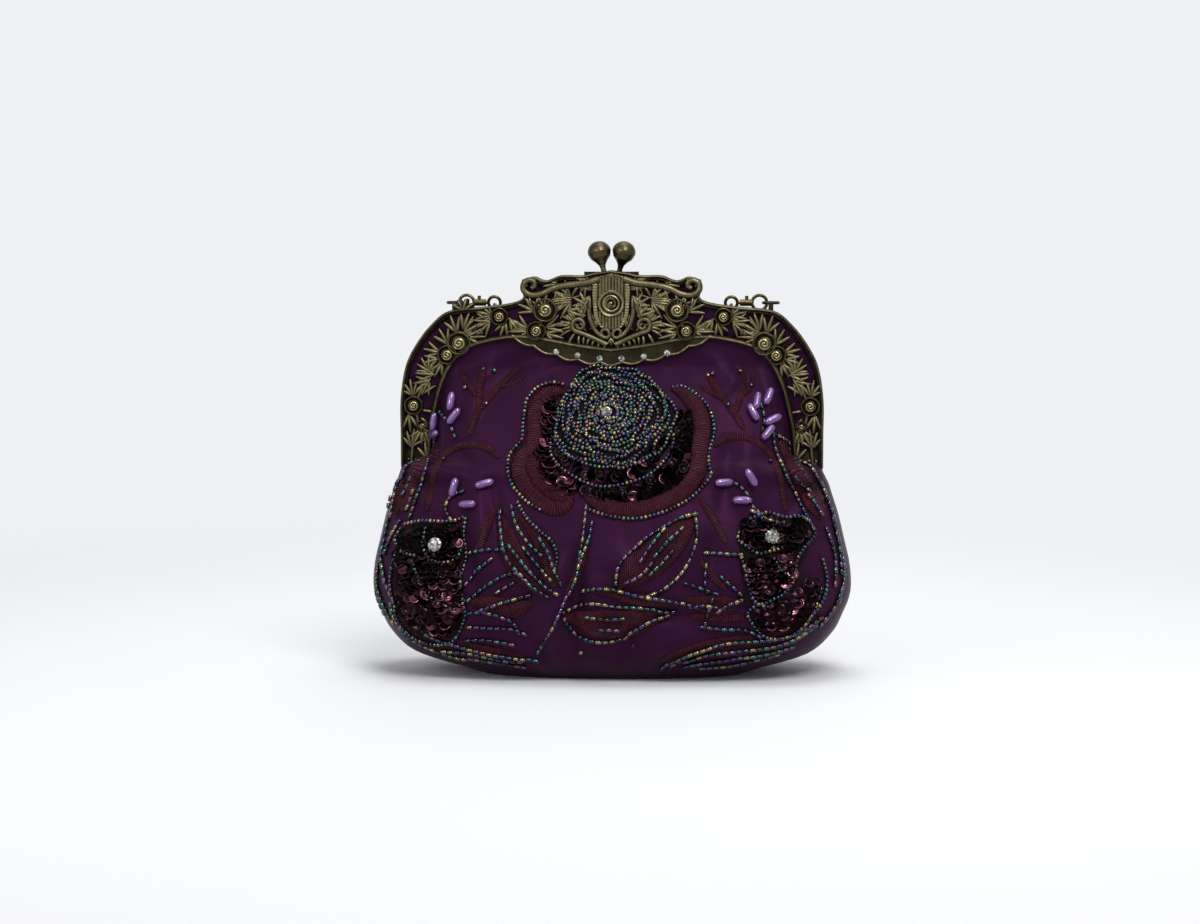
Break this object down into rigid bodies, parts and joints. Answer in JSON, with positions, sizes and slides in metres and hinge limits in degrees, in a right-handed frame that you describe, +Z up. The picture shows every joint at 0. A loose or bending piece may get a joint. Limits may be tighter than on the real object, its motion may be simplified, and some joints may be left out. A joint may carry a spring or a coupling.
{
  "type": "evening clutch",
  "caption": "Beaded plum satin evening clutch on an antique brass openwork frame that opens about two hinge rivets, with a kiss lock and a hanging chain handle",
  "frame": {"origin": "middle of the flat base, on the table", "axes": "+X to the right seen from the front, +Y to the back, +Z up"},
  "size_m": [0.2062, 0.0868, 0.1849],
  "materials": {
    "plum_satin": "plum satin with beadwork",
    "wadding": "soft white wadding",
    "lining_cloth": "dark plum lining",
    "antique_brass": "antique brass, dark in the recesses",
    "dark_brass": "darkened brass sheet",
    "bronze_chain": "bronze-toned wire",
    "crystal": "clear cut crystal",
    "pearl": "lavender pearl lustre",
    "sequins": "dark sequins with pink glints",
    "embroidery": "burgundy satin-stitch thread over padding",
    "seed_beads": "iridescent teal, green and purple seed beads"
  },
  "bodies": {
    "pouch": {"pouch_shell": "plum_satin", "pouch_wadding": "wadding", "pouch_lining": "lining_cloth", "slip_pocket": "lining_cloth", "hinge_rivets": "antique_brass", "sequin_flowers": "sequins", "padded_leaves": "embroidery", "padded_petals": "embroidery", "flower_crystals": "crystal", "lower_pearls": "pearl"},
    "front_frame": {"front_frame_channel": "antique_brass", "front_openwork": "antique_brass", "front_strip": "plum_satin", "front_apron": "antique_brass", "apron_crystals": "crystal", "front_panel": "plum_satin", "front_panel_lining": "lining_cloth", "front_lock_plate": "dark_brass", "front_lock_rivets": "dark_brass", "shoulder_pearls": "pearl", "rose_bead_disc": "seed_beads", "rose_crystal": "crystal"},
    "back_frame": {"back_frame_channel": "antique_brass", "back_openwork": "antique_brass", "back_strip": "plum_satin", "back_apron": "antique_brass", "back_panel": "plum_satin", "back_panel_lining": "lining_cloth", "back_lock_plate": "dark_brass", "back_lock_rivets": "dark_brass", "shoulder_eyes": "bronze_chain", "swivel_hooks": "bronze_chain", "hook_gates": "bronze_chain"},
    "left_knob": {"front_knob": "antique_brass"},
    "right_knob": {"back_knob": "antique_brass"},
    "chain": {"swivel_rings": "bronze_chain", "chain_links": "bronze_chain"}
  },
  "joints": [
    {"name": "front_frame_open", "type": "hinge", "parent": "pouch", "child": "front_frame", "pos_m": [0, 0, 0.088], "axis": [1, 0, 0], "range_deg": [0, 35], "deforming": ["rose_bead_disc"]},
    {"name": "back_frame_open", "type": "hinge", "parent": "pouch", "child": "back_frame", "pos_m": [0, 0, 0.088], "axis": [1, 0, 0], "range_deg": [-35, 0]},
    {"name": "left_knob_tilt", "type": "hinge", "parent": "front_frame", "child": "left_knob", "pos_m": [-0.0026, -0.0017, 0.16921], "axis": [0, 1, 0], "range_deg": [-8, 0], "stiffness_Nm_per_rad": 0.06},
    {"name": "right_knob_tilt", "type": "hinge", "parent": "back_frame", "child": "right_knob", "pos_m": [0.0026, 0.0017, 0.16921], "axis": [0, 1, 0], "range_deg": [0, 8], "stiffness_Nm_per_rad": 0.06},
    {"name": "chain_swing", "type": "hinge", "parent": "back_frame", "child": "chain", "pos_m": [0, 0.0088, 0.1584], "axis": [1, 0, 0], "range_deg": [0, 160]}
  ],
  "couplings": [
    {"joint": "back_frame_open", "follows": "front_frame_open", "ratio": -1},
    {"joint": "right_knob_tilt", "follows": "left_knob_tilt", "ratio": -1}
  ]
}
